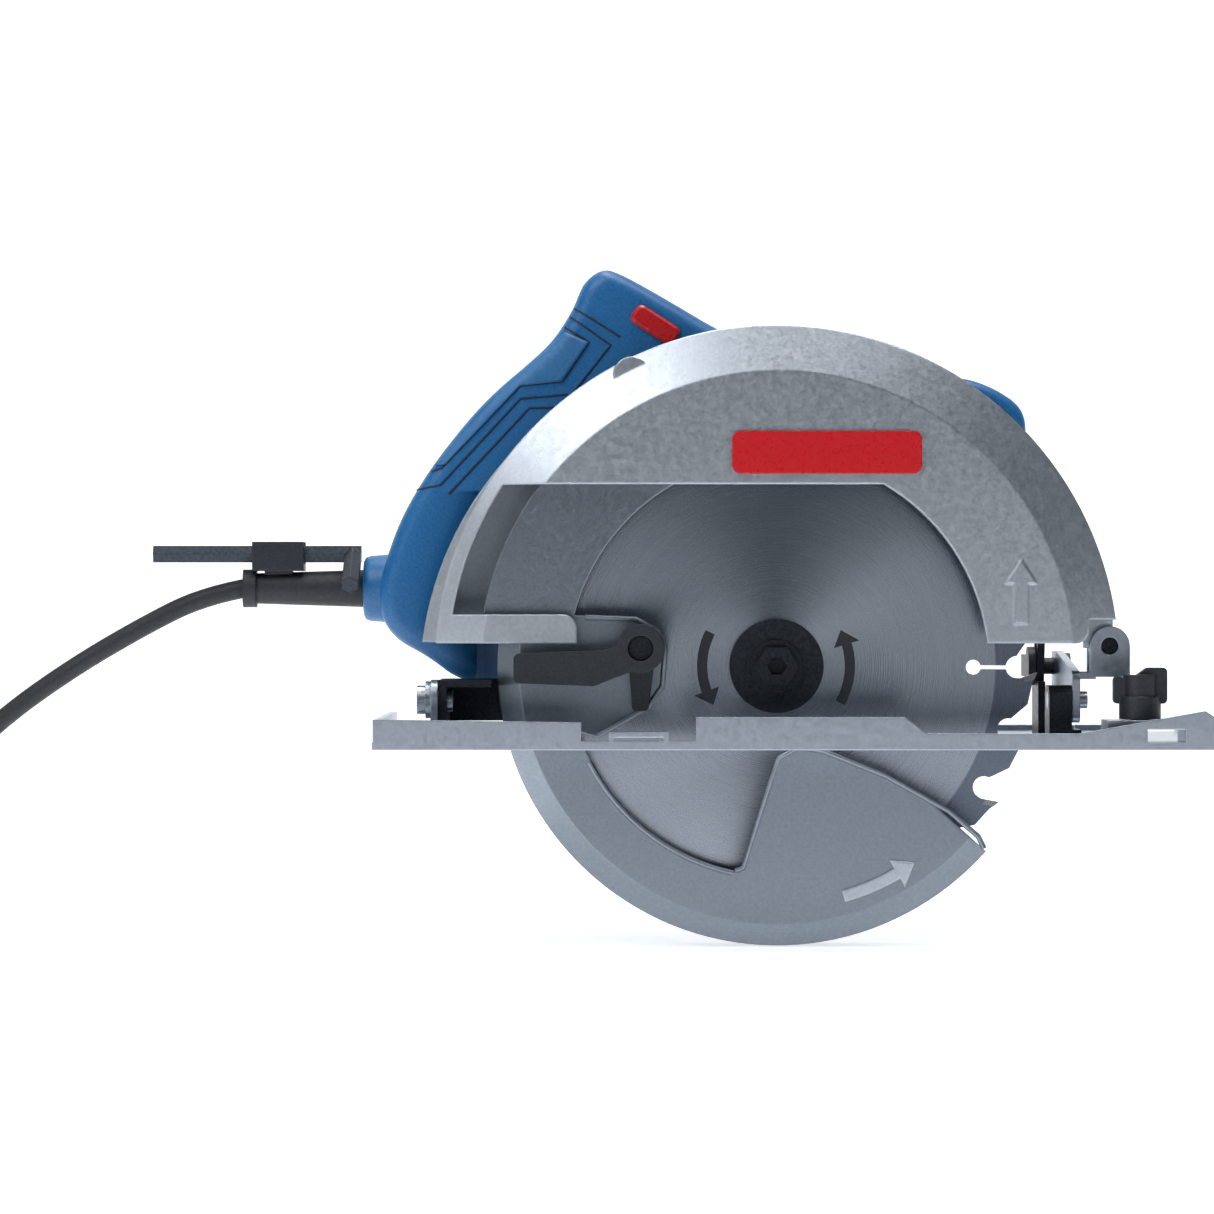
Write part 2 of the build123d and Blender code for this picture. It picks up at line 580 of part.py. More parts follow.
def handle():
    """Closed grip from the motor's top round to its back, as one solid before it is split."""
    y0, y1 = HANDLE_Y
    front_edge = [(-50, 26), (-20, 30), (18, 60), (26, 96), (14, 124), (2, 138)]
    body = side(outline(HANDLE_BACK + front_edge), y0, y1)
    body -= side(rounded(HANDLE_INNER, 5), y0 - 1, y1 + 1)
    body -= box(-106, -38, y0 - 1, 11.0, 18, 90)
    body -= side(case_outline(0.05), y0 - 1, BARREL_Y[0])
    body -= rod_y(MOTOR_X, MOTOR_Z, BARREL_R + 0.02, BARREL_Y[0] - 6.02, y1 + 1)
    body -= box(-34, 34, y0 - 1, 0.05, 70, 110)
    body -= side(Pos(*BUTTON_AT) * Rot(0, 0, BUTTON_TILT) * RectangleRounded(19, 8, 2.9), y0 - 1, 26)
    body -= side(outline([(-58, 137), (-84, 113), (-66, 98), (-46, 118)]), 9.5, 24.5)
    body -= rod_x(HANDLE_MID, CORD_Z, 6.9, -160, -130)
    return body


def handle_half(body, y0, y1):
    """One half of the grip."""
    return body & box(-200, 100, y0, y1, 0, 200)


def accent_bar():
    """Plain raised bar on the guard."""
    bar = rounded([(-16, ARBOR_Z + 67), (50, ARBOR_Z + 67), (50, ARBOR_Z + 82), (-16, ARBOR_Z + 82)], 3)
    return side(bar, from_blade(UPPER_FRONT) - 1.0, from_blade(UPPER_FRONT))


def front_knob():
    """Second handle at the front of the saw."""
    points = [
        (50, 124), (58.8, 129.8), (66.2, 130.5), (74.6, 128.4), (83.1, 124), (87.6, 120), (89.8, 113.5), (88, 105.6),
        (80, 99), (62, 98), (50, 106),
    ]
    face = make_face(Spline(*points, periodic=True))
    return fillet(side(face, from_blade(17.4), from_blade(61.4)).edges(), 4)


def knob_stem():
    """Casting between the gear case and the front knob."""
    stem = side(outline([(10, 70), (24, 62), (76, 98), (60, 112)]), 2, 14)
    stem -= side(case_outline(0.02), -1, 24)
    stem = stem - front_knob() - handle()
    return stem.solids().sort_by(lambda solid: solid.volume)[-1]


def cord_boot():
    """Tapered rubber sleeve where the cord leaves the grip."""
    sleeve = Pos(-166.5, HANDLE_MID, CORD_Z) * Rot(0, -90, 0) * Cone(6.75, 5.5, 39)
    sleeve += rod_x(HANDLE_MID, CORD_Z, 6.85, -190.8, -186.0)
    sleeve += rod_x(HANDLE_MID, CORD_Z, 6.85, -147.0, -132.0)
    return sleeve


def key_clip():
    """Spring clip on the sleeve that holds the hexagon key."""
    clip = box(-187.3, -168.7, HANDLE_MID - 6.2, HANDLE_MID + 6.2, 61.9, 64.4)
    for y in (HANDLE_MID - 6.2, HANDLE_MID + 3.7):
        clip += box(-187.3, -168.7, y, y + 2.5, 61.9, 72.4)
    neck = box(-183, -173, HANDLE_MID - 3, HANDLE_MID + 3, 58.5, 62.0)
    return clip + neck - cord_boot()


def hex_key():
    """Bent hexagon key for the blade bolt."""
    long_arm = Plane(origin=(-223.3, HANDLE_MID, 68.0), z_dir=(1, 0, 0)) * RegularPolygon(3.46, 6, rotation=30)
    key = extrude(long_arm, amount=72.1 + 3)
    arm = Plane(origin=(-151.2, HANDLE_MID, 68.0), z_dir=(0.0, -0.86, -0.51)) * RegularPolygon(3.46, 6)
    return key + extrude(arm, amount=22)


def trigger():
    """Switch lever inside the grip."""
    body = side(rounded([(-63, 130), (-78, 112), (-68, 102), (-56, 104), (-50, 117)], 3), 10, 24)
    return body & side(outline([(-62, 131), (-79, 112), (-66, 96), (-46, 116)]), 0, 40)


def lock_button():
    """Lock-off button in the top of the grip."""
    button_shape = Pos(*BUTTON_AT) * Rot(0, 0, BUTTON_TILT) * RectangleRounded(18.4, 7.4, 2.6)
    button = side(button_shape, HANDLE_Y[0] - 2.2, 21)
    return chamfer(button.edges().group_by(Axis.Y)[0], 1.0)


def spindle_lock():
    """Push pin that holds the spindle while the blade is changed."""
    return rod_x(from_blade(28), ARBOR_Z + 6, 3.0, 24.5, 34) + rod_x(from_blade(28), ARBOR_Z + 6, 5.5, 34, 38)


def depth_bolt():
    """Bolt on the head that runs in the depth arc."""
    x, z = polar(DEPTH_ARC_R, 180 - DEPTH_REST, *DEPTH_AT)
    return rod_y(x, z, 2.9, from_blade(UPPER_BACK), 9.0) + rod_y(x, z, 6.0, 5.8, 9.0)


def depth_lever():
    """Lever that clamps the depth setting."""
    x, z = polar(DEPTH_ARC_R, 180 - DEPTH_REST, *DEPTH_AT)
    lever = rod_y(x, z, 8.0, from_blade(24.2), from_blade(30.3))
    arm = outline([polar(7, 40, x, z), polar(7, 210, x, z), (x - 30, z + 20), (x - 24, z + 29)])
    lever += side(arm, from_blade(24.2), from_blade(29))
    return lever - rod_y(x, z, 3.0, -40, 40)


def pivot_pin():
    """Pin of the depth pivot, a little short of the ears' outer faces."""
    return rod_y(*DEPTH_AT, 3.0, from_blade(-4.5), from_blade(6.0))


def guard_screws():
    """Screws that hold the guard to the gear case."""
    screws = []
    for x, z in ((-24, 98), (24, 98)):
        screws.append(rod_y(x, z, 2.6, from_blade(UPPER_BACK - 4.0), from_blade(UPPER_BACK + 5.0)))
    return Compound(children=screws)


def handle_screws():
    """Screws in the far side of the grip."""
    screws = []
    for x, z in ((-130, 60), (-104, 100), (-62, 150), (-8, 128), (-100, 40)):
        screw = rod_y(x, z, 3.6, HANDLE_Y[1], HANDLE_Y[1] + 1.2)
        screws.append(screw - rod_y(x, z, 1.7, HANDLE_Y[1] + 0.4, HANDLE_Y[1] + 2))
    return Compound(children=screws)


def cord_run():
    """Plain tube along the stretch of cord that isn't coiled."""
    points = [Vector(x, HANDLE_MID, z) for x, z in CORD_ROUTE]
    radii = []
    for a, b, c in zip(points, points[1:], points[2:]):
        turn = (b - a).get_angle(c - b)
        radii.append(0.45 * min((b - a).length, (c - b).length) / tan(radians(turn) / 2))
    print("cord radii", [round(r, 1) for r in radii])
    path = FilletPolyline(*points, radius=radii)
    tube = sweep(Plane(origin=points[0], z_dir=path % 0) * Circle(CORD_R), path)
    print("cord volume", round(tube.volume), "section times length", round(pi * CORD_R**2 * path.length))
    return tube


def cord_coil():
    """Outer shape of the coiled rest of the cord."""
    z0 = FLOOR_Z
    outer = rod_z(COIL_X, COIL_Y, COIL_R + COIL_HALF, z0, z0 + 2 * COIL_HALF)
    coil = outer - rod_z(COIL_X, COIL_Y, COIL_R - COIL_HALF, z0 - 1, z0 + 40)
    return fillet(coil.edges().filter_by(GeomType.CIRCLE), 4)


def plug():
    """Two-pin mains plug lying beside the coil."""
    y, z = COIL_Y + COIL_R, FLOOR_Z + 7.0
    sleeve = Pos(COIL_X + 45, y, z) * Rot(0, 90, 0) * Cone(4.4, 6.0, 26)
    body = box(COIL_X + 57, COIL_X + 92, y - 13, y + 13, FLOOR_Z, FLOOR_Z + 14)
    body = fillet(body.edges().filter_by(Axis.X), 5)
    for side_y in (-9.3, 9.3):
        body += rod_x(y + side_y, z, 2.0, COIL_X + 92, COIL_X + 110)
    return body + sleeve


front_outer, front_inner = bearing(0, ARBOR_Z, 16.0, SPINDLE_R, from_blade(9), from_blade(19))
rear_outer, rear_inner = bearing(0, ARBOR_Z, 16.0, SPINDLE_R, from_blade(37.2), from_blade(46.5))
motor_outer, motor_inner = bearing(MOTOR_X, MOTOR_Z, 9.0, 4.0, 19.2, 24.8)
cap_outer, cap_inner = bearing(MOTOR_X, MOTOR_Z, 11.0, 4.0, 116.0, 121.5)
handle_body = handle()

NODES = {
    "base_plate": base_plate(),
    "front_quadrant": front_quadrant(),
    "pivot_block": pivot_block(),
    "rear_bracket": rear_bracket(),
    "front_pin": front_pin(),
    "rear_pin": rear_pin(),
    "guide_saddle": guide_saddle(),
    "base_rivets": base_rivets(),
    "guide_screw": guide_screw(),
    "front_tilt_bracket": front_tilt_bracket(),
    "rear_tilt_bracket": rear_tilt_bracket(),
    "depth_arc": depth_arc(),
    "tilt_knob": tilt_knob(),
    "upper_guard": upper_guard(),
    "accent_bar": accent_bar(),
    "gear_case": gear_case(),
    "guard_ring": guard_ring(),
    "motor_housing": motor_housing(),
    "motor_end_cap": motor_end_cap(),
    "brush_caps": brush_caps(),
    "stator": stator(),
    "bearing_outers": Compound(children=[front_outer, rear_outer, motor_outer, cap_outer]),
    "handle_near": handle_half(handle_body, HANDLE_Y[0], HANDLE_MID),
    "handle_far": handle_half(handle_body, HANDLE_MID, HANDLE_Y[1]),
    "front_knob": front_knob(),
    "knob_stem": knob_stem(),
    "cord_boot": cord_boot(),
    "key_clip": key_clip(),
    "depth_bolt": depth_bolt(),
    "pivot_pin": pivot_pin(),
    "guard_screws": guard_screws(),
    "handle_screws": handle_screws(),
    "cord_run": cord_run(),
    "cord_coil": cord_coil(),
    "plug": plug(),
    "depth_lever": depth_lever(),
    "blade": blade(),
    "carbide_tips": carbide_tips(),
    "outer_flange": flange(from_blade(-6.5), BLADE_Y - BLADE_HALF),
    "inner_flange": flange(BLADE_Y + BLADE_HALF, from_blade(6.5)),
    "blade_bolt": blade_bolt(),
    "spindle": spindle(),
    "spindle_gear": spindle_gear(),
    "bearing_inners": Compound(children=[front_inner, rear_inner]),
    "armature_shaft": armature_shaft(),
    "rotor": rotor(),
    "commutator": commutator(),
    "fan": fan(),
    "motor_bearing_inners": Compound(children=[motor_inner, cap_inner]),
    "lower_guard": lower_guard(),
    "guard_lever": guard_lever(),
    "lever_screw": lever_screw(),
    "trigger": trigger(),
    "lock_button": lock_button(),
    "spindle_lock": spindle_lock(),
    "hex_key": hex_key(),
}

for node, shape in NODES.items():
    save(shape, node)
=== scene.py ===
"""Looks of the circular saw: materials, the shaped grip, the cord, marks, light and camera."""

import bmesh
import bpy
import json
from math import cos, pi, radians, sin, sqrt
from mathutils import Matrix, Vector
from mathutils.bvhtree import BVHTree


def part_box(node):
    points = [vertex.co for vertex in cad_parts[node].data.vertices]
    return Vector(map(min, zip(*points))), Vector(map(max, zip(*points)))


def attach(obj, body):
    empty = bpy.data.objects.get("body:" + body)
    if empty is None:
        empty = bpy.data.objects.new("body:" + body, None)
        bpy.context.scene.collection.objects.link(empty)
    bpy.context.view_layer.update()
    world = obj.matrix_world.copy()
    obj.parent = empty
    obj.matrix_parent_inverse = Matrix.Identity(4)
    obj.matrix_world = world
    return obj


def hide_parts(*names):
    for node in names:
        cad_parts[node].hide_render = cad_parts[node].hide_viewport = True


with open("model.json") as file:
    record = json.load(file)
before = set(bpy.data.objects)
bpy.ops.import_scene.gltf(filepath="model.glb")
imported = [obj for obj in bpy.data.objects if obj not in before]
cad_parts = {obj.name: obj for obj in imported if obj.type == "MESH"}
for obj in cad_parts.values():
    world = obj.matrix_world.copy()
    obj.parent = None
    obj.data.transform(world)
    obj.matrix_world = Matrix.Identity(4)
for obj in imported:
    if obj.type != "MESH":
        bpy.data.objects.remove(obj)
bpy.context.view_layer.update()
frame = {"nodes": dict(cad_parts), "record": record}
nodes = frame["nodes"]

BLADE_Y = sum(corner[1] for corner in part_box("blade")) / 2
ARBOR_Z = sum(corner[2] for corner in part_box("blade_bolt")) / 2
FLOOR_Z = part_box("cord_coil")[0][2]
HANDLE_LOW, HANDLE_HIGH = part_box("handle_near")[0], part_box("handle_far")[1]
GRIP_Y = (HANDLE_LOW[1] + HANDLE_HIGH[1]) / 2
CORD_D = 0.007

# grip, in metres
GRIP_EDGE = 0.006  # rounding of the grip's long edges
BARREL_ROOM_R = 0.0420  # hole that clears the motor housing
LOW_NEAR_ROOM = ((-0.106, HANDLE_LOW[1] - 0.01, 0.010), (-0.038, 0.011, 0.090))
TRIGGER_ROOM = ((-0.079, 0.0095, 0.095), (-0.048, 0.0245, 0.1275))
CAST_START = HANDLE_LOW[1] - 0.02  # where rays that find the near face set out
CAST_REACH = 0.08
GROOVE_R = 0.00042

# marks, as radii about the blade's axis
DARK_BAND_R = 0.077
WINDOW_LIP_R = 0.0738
LIP_R = 0.0010
BLADE_ARROW_R = 0.0260
GUARD_ARROW_R = 0.0835

# coil of the cord
COIL_TURNS = 8.5
STEPS_PER_TURN = 16
CORD_SPACING = CORD_D * 0.98
COIL_LANES = [(-1, 0), (0, 0), (1, 0), (1, 1), (0, 1), (-1, 1), (-1, 2), (0, 2), (1, 2)]

# backdrop and camera, in metres
PAPER_FRONT, PAPER_BACK = -0.8, 1.2
PAPER_SWEEP_R = 0.8
PAPER_TOP = 3.5
PAPER_HALF_WIDTH = 4.0
CAMERA_AWAY = 1.603
CAMERA_X, CAMERA_Z = -0.0595, 0.0489


def shader(name, base, metallic=0.0, roughness=0.5):
    """A new material and its principled shader."""
    material = bpy.data.materials.new(name)
    material.use_nodes = True
    principled = material.node_tree.nodes["Principled BSDF"]
    principled.inputs["Base Color"].default_value = (*base, 1)
    principled.inputs["Metallic"].default_value = metallic
    principled.inputs["Roughness"].default_value = roughness
    return material, principled


def add(material, kind, **inputs):
    """A node with its input values set."""
    node = material.node_tree.nodes.new(kind)
    for key, value in inputs.items():
        node.inputs[key.replace("_", " ")].default_value = value
    return node


def link(material, output, target):
    material.node_tree.links.new(output, target)


def noise(material, per_metre, detail=3.0):
    """Noise in the object's own metres."""
    place = add(material, "ShaderNodeTexCoord")
    texture = add(material, "ShaderNodeTexNoise", Scale=per_metre, Detail=detail)
    link(material, place.outputs["Object"], texture.inputs["Vector"])
    return texture.outputs["Fac"]


def spread(material, value, low, high):
    """Noise mapped to a range that is used in full."""
    fit = add(material, "ShaderNodeMapRange")
    fit.inputs["From Min"].default_value = 0.3
    fit.inputs["From Max"].default_value = 0.7
    fit.inputs["To Min"].default_value = low
    fit.inputs["To Max"].default_value = high
    link(material, value, fit.inputs["Value"])
    return fit.outputs["Result"]


def tint(material, principled, value, dark, light):
    """Base colour that varies between two tones."""
    ramp = add(material, "ShaderNodeValToRGB")
    ramp.color_ramp.elements[0].position = 0.3
    ramp.color_ramp.elements[1].position = 0.7
    ramp.color_ramp.elements[0].color = (*dark, 1)
    ramp.color_ramp.elements[1].color = (*light, 1)
    link(material, value, ramp.inputs["Fac"])
    link(material, ramp.outputs["Color"], principled.inputs["Base Color"])


def relief(material, principled, value, depth, edge):
    """Surface grain of a real depth, on edges rounded to a real radius."""
    rounding = add(material, "ShaderNodeBevel", Radius=edge)
    rounding.samples = 6
    bump = add(material, "ShaderNodeBump", Strength=1.0, Distance=depth)
    link(material, value, bump.inputs["Height"])
    link(material, rounding.outputs["Normal"], bump.inputs["Normal"])
    link(material, bump.outputs["Normal"], principled.inputs["Normal"])


def grained(name, dark, light, metallic, rough, grain, depth, edge):
    """A finish with tone, roughness and grain that vary at their own scales."""
    material, principled = shader(name, light, metallic, rough[0])
    tint(material, principled, noise(material, grain / 2.5, 5.0), dark, light)
    link(material, spread(material, noise(material, grain / 5), *rough), principled.inputs["Roughness"])
    relief(material, principled, noise(material, grain), depth, edge)
    return material


def about_arbor(material):
    """Distance from the blade's axis, and the direction round it."""
    place = add(material, "ShaderNodeTexCoord")
    offset = add(material, "ShaderNodeVectorMath")
    offset.operation = "SUBTRACT"
    offset.inputs[1].default_value = (0, BLADE_Y, ARBOR_Z)
    flat = add(material, "ShaderNodeVectorMath")
    flat.operation = "MULTIPLY"
    flat.inputs[1].default_value = (1, 0, 1)
    length = add(material, "ShaderNodeVectorMath")
    length.operation = "LENGTH"
    around = add(material, "ShaderNodeVectorMath")
    around.operation = "CROSS_PRODUCT"
    around.inputs[1].default_value = (0, 1, 0)
    link(material, place.outputs["Object"], offset.inputs[0])
    link(material, offset.outputs["Vector"], flat.inputs[0])
    link(material, flat.outputs["Vector"], length.inputs[0])
    link(material, flat.outputs["Vector"], around.inputs[0])
    return length.outputs["Value"], around.outputs["Vector"]


def blade_finish():
    """Steel ground in circles, with a darker band inside the teeth."""
    material, principled = shader("blade_steel_ground", (0.7, 0.72, 0.75), 1.0, 0.28)
    radius, around = about_arbor(material)
    rings = add(material, "ShaderNodeTexNoise", Scale=5200.0, Detail=2.0)
    rings.noise_dimensions = "1D"
    link(material, radius, rings.inputs["W"])
    band = add(material, "ShaderNodeValToRGB")
    band.color_ramp.elements[0].position = 10 * DARK_BAND_R
    band.color_ramp.elements[0].color = (0.35, 0.39, 0.45, 1)
    band.color_ramp.elements[1].position = 10 * DARK_BAND_R + 0.004
    band.color_ramp.elements[1].color = (0.16, 0.19, 0.24, 1)
    scale = add(material, "ShaderNodeMath")
    scale.operation = "MULTIPLY"
    scale.inputs[1].default_value = 10.0
    link(material, radius, scale.inputs[0])
    link(material, scale.outputs["Value"], band.inputs["Fac"])
    link(material, band.outputs["Color"], principled.inputs["Base Color"])
    link(material, spread(material, rings.outputs["Fac"], 0.22, 0.36), principled.inputs["Roughness"])
    principled.inputs["Anisotropic"].default_value = 0.85
    link(material, around, principled.inputs["Tangent"])
    relief(material, principled, rings.outputs["Fac"], 0.000004, 0.0002)
    return material


FINISHES = {
    "zinc_sheet": grained(
        "zinc_plated_sheet", dark=(0.40, 0.45, 0.52), light=(0.46, 0.51, 0.58),
        metallic=1.0, rough=(0.3, 0.42), grain=1800, depth=0.00001, edge=0.0006,
    ),
    "black_metal": grained(
        "blackened_steel", dark=(0.012, 0.015, 0.022), light=(0.03, 0.036, 0.046),
        metallic=0.7, rough=(0.34, 0.5), grain=2500, depth=0.00001, edge=0.0004,
    ),
    "fastener": grained(
        "zinc_plated_screw", dark=(0.36, 0.39, 0.43), light=(0.55, 0.58, 0.62),
        metallic=1.0, rough=(0.25, 0.42), grain=3000, depth=0.00001, edge=0.0003,
    ),
    "black_plastic": grained(
        "black_moulding", dark=(0.008, 0.011, 0.017), light=(0.02, 0.026, 0.036),
        metallic=0.0, rough=(0.38, 0.52), grain=2800, depth=0.00003, edge=0.0008,
    ),
    "cast_guard": grained(
        "cast_aluminium", dark=(0.44, 0.485, 0.54), light=(0.52, 0.565, 0.62),
        metallic=0.9, rough=(0.34, 0.44), grain=2200, depth=0.00004, edge=0.0012,
    ),
    # Same cast aluminium as the fixed guard, made darker as painted shade because the swinging guard sits
    # back behind the fixed guard's front wall.
    "cast_guard_dark": grained(
        "cast_aluminium_painted_shade", dark=(0.22, 0.26, 0.30), light=(0.27, 0.30, 0.35),
        metallic=0.95, rough=(0.32, 0.42), grain=2200, depth=0.00004, edge=0.0010,
    ),
    "red_plastic": grained(
        "red_moulding", dark=(0.52, 0.010, 0.014), light=(0.56, 0.012, 0.016),
        metallic=0.0, rough=(0.24, 0.36), grain=2600, depth=0.00001, edge=0.0008,
    ),
    "blue_plastic": grained(
        "blue_moulding", dark=(0.008, 0.105, 0.29), light=(0.014, 0.155, 0.39),
        metallic=0.0, rough=(0.34, 0.48), grain=2600, depth=0.00003, edge=0.0012,
    ),
    "iron": grained(
        "laminated_iron", dark=(0.08, 0.08, 0.085), light=(0.16, 0.16, 0.17),
        metallic=0.8, rough=(0.45, 0.6), grain=1500, depth=0.00002, edge=0.0003,
    ),
    "bearing_steel": grained(
        "ground_steel", dark=(0.45, 0.46, 0.48), light=(0.6, 0.61, 0.63),
        metallic=1.0, rough=(0.18, 0.3), grain=3000, depth=0.000006, edge=0.0003,
    ),
    "black_rubber": grained(
        "black_rubber_soft", dark=(0.008, 0.010, 0.014), light=(0.018, 0.022, 0.03),
        metallic=0.0, rough=(0.5, 0.66), grain=2400, depth=0.00003, edge=0.0006,
    ),
    "blade_steel": blade_finish(),
    "carbide": grained(
        "carbide_ground", dark=(0.2, 0.21, 0.23), light=(0.34, 0.35, 0.38),
        metallic=1.0, rough=(0.25, 0.36), grain=5000, depth=0.000005, edge=0.0001,
    ),
    "copper": grained(
        "commutator_copper", dark=(0.5, 0.24, 0.12), light=(0.7, 0.38, 0.22),
        metallic=1.0, rough=(0.2, 0.34), grain=2000, depth=0.000006, edge=0.0002,
    ),
    "key_steel": grained(
        "key_blackened_steel", dark=(0.02, 0.027, 0.038), light=(0.045, 0.055, 0.072),
        metallic=0.6, rough=(0.3, 0.42), grain=2500, depth=0.00001, edge=0.0005,
    ),
}
# Textured grip face whose lighter blue is a painted highlight on the lit back of the grip.
HIGHLIGHT_BLUE = grained(
    "blue_grip_face_painted_highlight", dark=(0.022, 0.135, 0.33), light=(0.034, 0.175, 0.40),
    metallic=0.0, rough=(0.44, 0.58), grain=1500, depth=0.00008, edge=0.0008,
)
# Painted shade: dark blue for the shadow inside the grip's grooves.
GROOVE_SHADE = grained(
    "blue_groove_shade", dark=(0.003, 0.016, 0.05), light=(0.005, 0.024, 0.07),
    metallic=0.0, rough=(0.6, 0.75), grain=2500, depth=0.00001, edge=0.0002,
)
PRINT = grained(
    "printed_black", dark=(0.01, 0.013, 0.02), light=(0.022, 0.027, 0.038),
    metallic=0.0, rough=(0.4, 0.55), grain=3000, depth=0.000004, edge=0.0001,
)
FLOOR = grained(
    "paper_floor", dark=(0.86, 0.87, 0.88), light=(0.90, 0.905, 0.91),
    metallic=0.0, rough=(0.7, 0.8), grain=120, depth=0.00002, edge=0.001,
)


def dress(obj, material):
    obj.data.materials.clear()
    obj.data.materials.append(material)


def dress_cad_nodes():
    """Every node gets the finish of its slot."""
    for part in frame["record"]["subparts"]:
        if part["node"] in nodes:
            dress(nodes[part["node"]], FINISHES[part["material_slot"]])


def piece(name, mesh, body, material, replaced=()):
    """A new object that rides on a body."""
    obj = bpy.data.objects.new(name, mesh)
    bpy.context.scene.collection.objects.link(obj)
    dress(obj, material)
    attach(obj, body)
    if replaced:
        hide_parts(*replaced)
    return obj


def side_curve(loops, half_width, edge, y):
    """A solid drawn in x and z with round edges, as a mesh standing at y."""
    curve = bpy.data.curves.new("side", "CURVE")
    curve.dimensions = "2D"
    curve.fill_mode = "BOTH"
    curve.extrude = half_width - edge
    curve.bevel_depth = edge
    curve.bevel_resolution = 6
    curve.offset = -edge
    for loop in loops:
        spline = curve.splines.new("NURBS")
        spline.points.add(len(loop) - 1)
        for point, (x, z) in zip(spline.points, loop):
            point.co = (x / 1000, z / 1000, 0, 1)
        spline.use_cyclic_u = True
        spline.order_u = 3
        spline.resolution_u = 8
    holder = bpy.data.objects.new("side", curve)
    mesh = bpy.data.meshes.new_from_object(holder)
    bpy.data.objects.remove(holder)
    for vertex in mesh.vertices:
        x, z, depth = vertex.co
        vertex.co = (x, y - depth, z)
    mesh.flip_normals()
    return mesh


def cut(obj, cutter_mesh):
    """Take one mesh out of a piece for good."""
    cutter = bpy.data.objects.new("cutter", cutter_mesh)
    bpy.context.scene.collection.objects.link(cutter)
    difference = obj.modifiers.new("cut", "BOOLEAN")
    difference.operation = "DIFFERENCE"
    difference.solver = "EXACT"
    difference.object = cutter
    graph = bpy.context.evaluated_depsgraph_get()
    result = bpy.data.meshes.new_from_object(obj.evaluated_get(graph))
    obj.modifiers.clear()
    obj.data = result
    bpy.data.objects.remove(cutter)


def block_mesh(low, high):
    """A closed block between two corners."""
    mesh = bpy.data.meshes.new("block")
    work = bmesh.new()
    bmesh.ops.create_cube(work, size=1)
    for vertex in work.verts:
        for axis in range(3):
            middle, size = (low[axis] + high[axis]) / 2, high[axis] - low[axis]
            vertex.co[axis] = middle + vertex.co[axis] * size
    work.to_mesh(mesh)
    work.free()
    return mesh


def drum_mesh(x, z, radius, y0, y1):
    """A closed drum along Y."""
    mesh = bpy.data.meshes.new("drum")
    work = bmesh.new()
    bmesh.ops.create_cone(work, cap_ends=True, segments=96, radius1=radius, radius2=radius, depth=y1 - y0)
    for vertex in work.verts:
        a, b, c = vertex.co
        vertex.co = (x + a, (y0 + y1) / 2 + c, z + b)
    bmesh.ops.recalc_face_normals(work, faces=work.faces)
    work.to_mesh(mesh)
    work.free()
    return mesh


GRIP_OUTER = [
    (-2, 139), (-12, 145), (-21, 149), (-32.4, 155.8), (-43.7, 162.4), (-54.5, 168.3), (-61, 170.4),
    (-67.6, 165.6), (-70, 160), (-72, 155), (-79, 144), (-89, 135), (-98.6, 127), (-107, 118.5),
    (-113.7, 110.4), (-120.4, 101.8), (-126.1, 93.4), (-131.2, 84.6), (-135, 76.4), (-138, 68),
    (-141, 58), (-141, 46), (-135, 37), (-124, 31.5), (-112.5, 22.5), (-100.7, 22), (-75, 24),
    (-50, 27), (-20, 32), (18, 60), (26, 96), (12, 126),
]
GRIP_INNER = [
    (-99, 68), (-96, 80), (-85, 94), (-70, 110), (-52, 122), (-36, 120),
    (-32, 110), (-40, 98), (-54, 86), (-60, 72), (-80, 68),
]


def grip():
    """Shaped closed grip in place of its two plain halves."""
    half = (HANDLE_HIGH[1] - HANDLE_LOW[1]) / 2
    mesh = side_curve([GRIP_OUTER, GRIP_INNER], half, GRIP_EDGE, GRIP_Y)
    obj = piece("grip", mesh, "head", FINISHES["blue_plastic"], ("handle_near", "handle_far"))
    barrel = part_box("motor_housing")
    x, z = (barrel[0][0] + barrel[1][0]) / 2, (barrel[0][2] + barrel[1][2]) / 2
    cut(obj, block_mesh(*LOW_NEAR_ROOM))
    cut(obj, block_mesh(*TRIGGER_ROOM))
    cut(obj, drum_mesh(x, z, BARREL_ROOM_R, barrel[0][1] - 0.0001, HANDLE_HIGH[1] + 0.01))
    for polygon in obj.data.polygons:
        polygon.use_smooth = True
    dress(obj, FINISHES["blue_plastic"])
    return obj


def turned(name, profile, body, material, segments=64):
    """A round piece about the sleeve's axis, from (x, radius) points."""
    low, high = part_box("cord_boot")
    axis_z = (low[2] + high[2]) / 2
    work = bmesh.new()
    rings = []
    for x, radius in profile:
        ring = []
        for i in range(segments):
            angle = 2 * pi * i / segments
            ring.append(work.verts.new((x, GRIP_Y + radius * cos(angle), axis_z + radius * sin(angle))))
        rings.append(ring)
    for first, second in zip(rings, rings[1:]):
        for i in range(segments):
            work.faces.new((first[i], first[i - 1], second[i - 1], second[i]))
    bmesh.ops.recalc_face_normals(work, faces=work.faces)
    mesh = bpy.data.meshes.new(name)
    work.to_mesh(mesh)
    work.free()
    for polygon in mesh.polygons:
        polygon.use_smooth = True
    return piece(name, mesh, body, material)


def grip_collar():
    """Round collar of the grip where the sleeve goes in."""
    profile = [
        (-0.1472, 0.0068), (-0.1472, 0.0098), (-0.1465, 0.0112),
        (-0.1448, 0.0118), (-0.134, 0.0126), (-0.128, 0.0126),
    ]
    turned("grip_collar", profile, "head", FINISHES["blue_plastic"])


def near_face(tree, x, z):
    """Where a ray along Y at x and z (millimetres) meets the near face, or nothing."""
    start = Vector((x / 1000, CAST_START, z / 1000))
    return tree.ray_cast(start, Vector((0, 1, 0)), CAST_REACH)[0]


